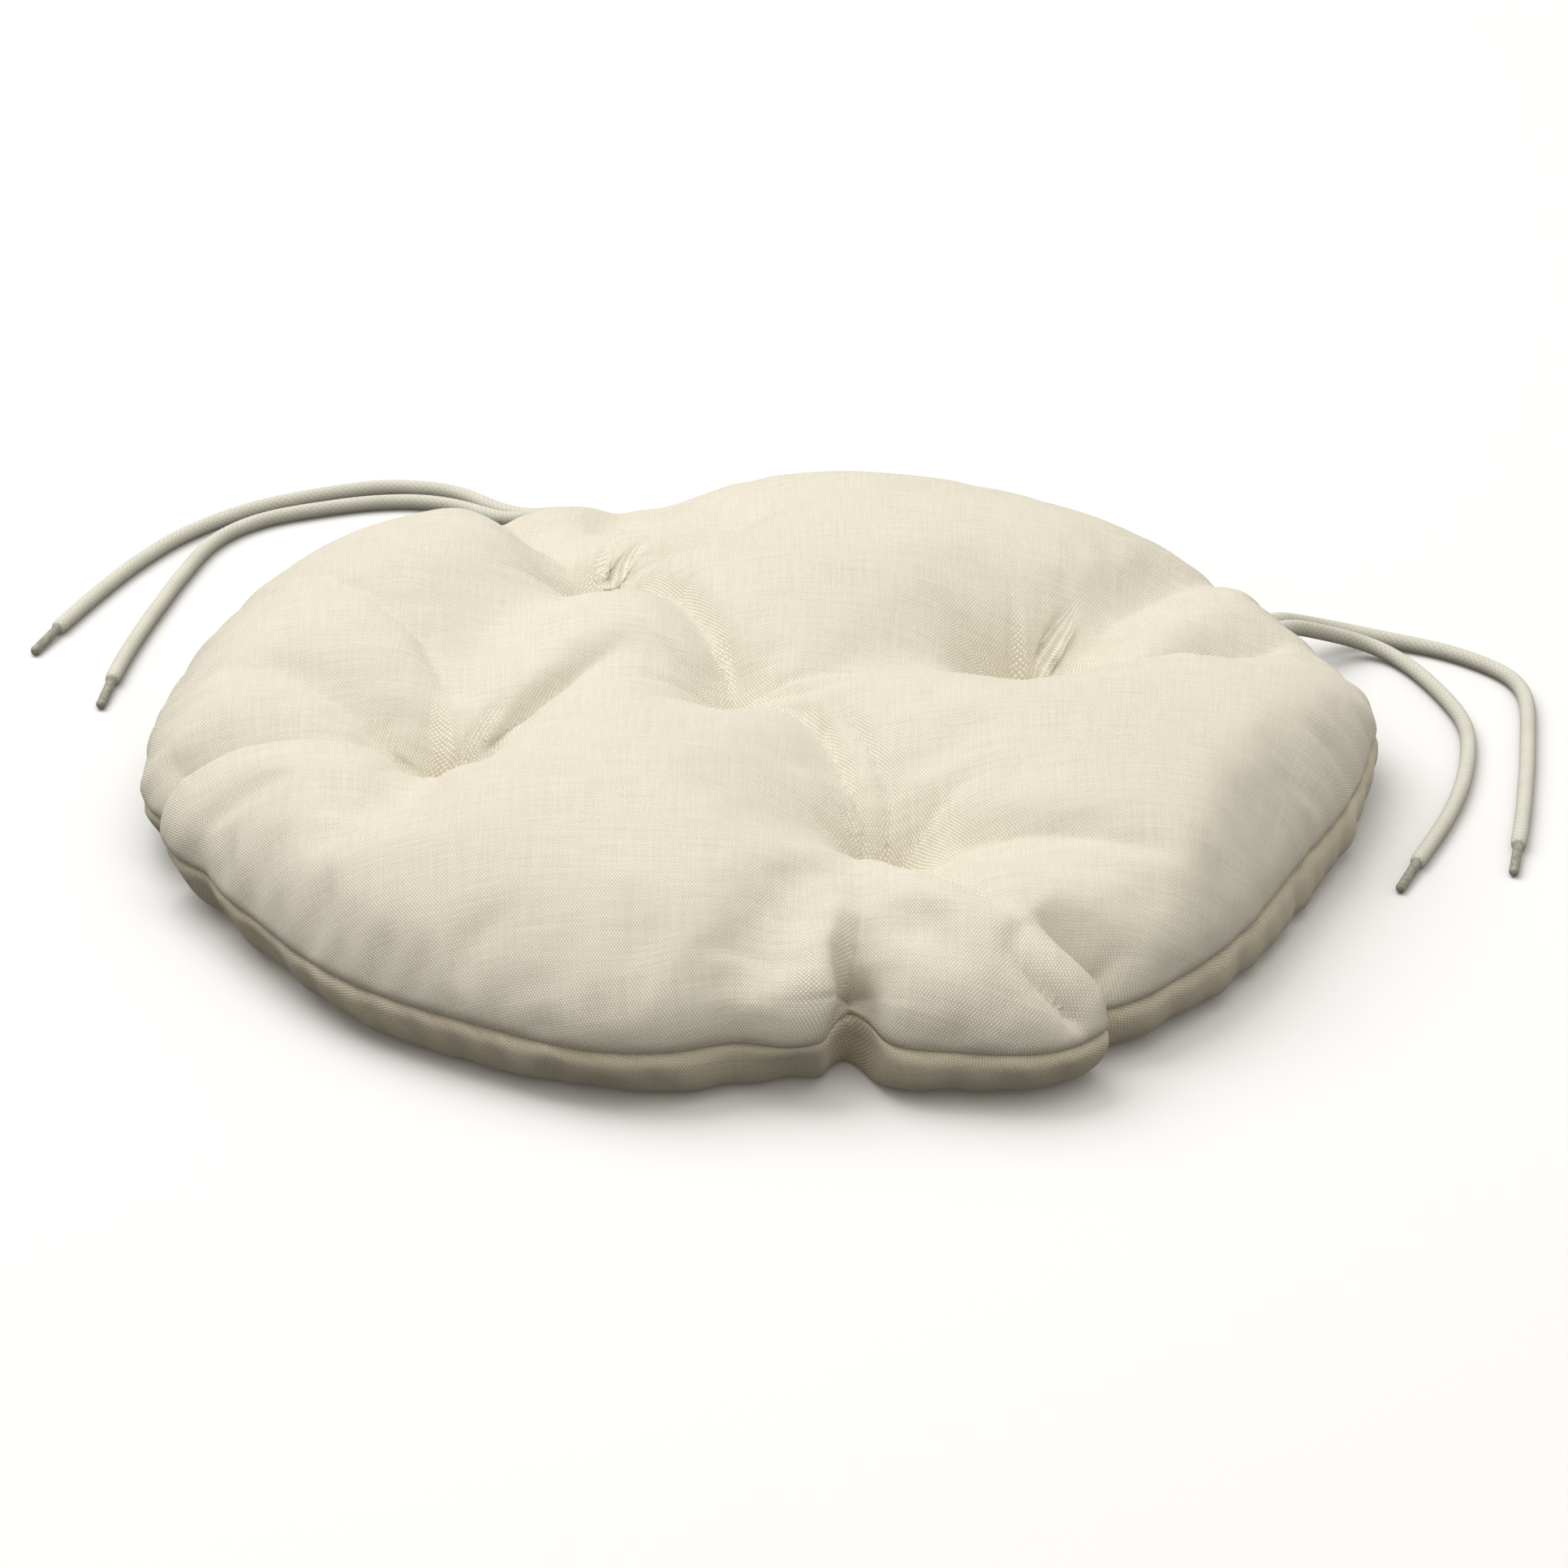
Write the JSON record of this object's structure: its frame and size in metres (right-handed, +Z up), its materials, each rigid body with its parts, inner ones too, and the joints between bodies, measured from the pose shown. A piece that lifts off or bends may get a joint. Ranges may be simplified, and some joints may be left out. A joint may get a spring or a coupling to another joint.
{
  "type": "chair seat pad",
  "caption": "Round tufted fabric chair pad, drawn in by threads at its dimples, with pairs of braided ties sewn into its back edge.",
  "frame": {"origin": "middle of the pad's underside, on the surface that it rests on", "axes": "+Z up through the thickness, +Y towards the back edge where the ties are sewn in, +X to the right"},
  "size_m": [0.4527, 0.355, 0.0519],
  "materials": {
    "cover_cloth": "plain rib weave, cream",
    "cover_cloth_under": "plain rib weave, cream",
    "fibre_fill": "matte loose fibre",
    "thread": "twisted thread",
    "tie_braid": "round herringbone braid",
    "tie_tip": "shrunk film, satin"
  },
  "bodies": {
    "pad": {"cover_top": "cover_cloth", "cover_bottom": "cover_cloth_under", "filling": "fibre_fill", "seam_thread": "thread", "closing_thread": "thread", "tuft_thread_centre": "thread", "tuft_thread_back_right": "thread", "tuft_thread_back_left": "thread", "tuft_thread_front_left": "thread", "tuft_thread_front_right": "thread", "tie_root_left": "tie_braid", "tie_root_right": "tie_braid", "bar_tack_left": "thread", "bar_tack_right": "thread"},
    "left_tie": {"tie_cord_left_outer": "tie_braid", "tie_cord_left_inner": "tie_braid", "tie_tip_left_outer": "tie_tip", "tie_tip_left_inner": "tie_tip"},
    "right_tie": {"tie_cord_right_outer": "tie_braid", "tie_cord_right_inner": "tie_braid", "tie_tip_right_outer": "tie_tip", "tie_tip_right_inner": "tie_tip"}
  },
  "joints": [
    {"name": "left_tie_swing", "type": "hinge", "parent": "pad", "child": "left_tie", "pos_m": [-0.1059, 0.14017, 0.016], "axis": [0, 0, 1], "range_deg": [-60, 0]},
    {"name": "right_tie_swing", "type": "hinge", "parent": "pad", "child": "right_tie", "pos_m": [0.1059, 0.14017, 0.016], "axis": [0, 0, 1], "range_deg": [0, 60]}
  ]
}
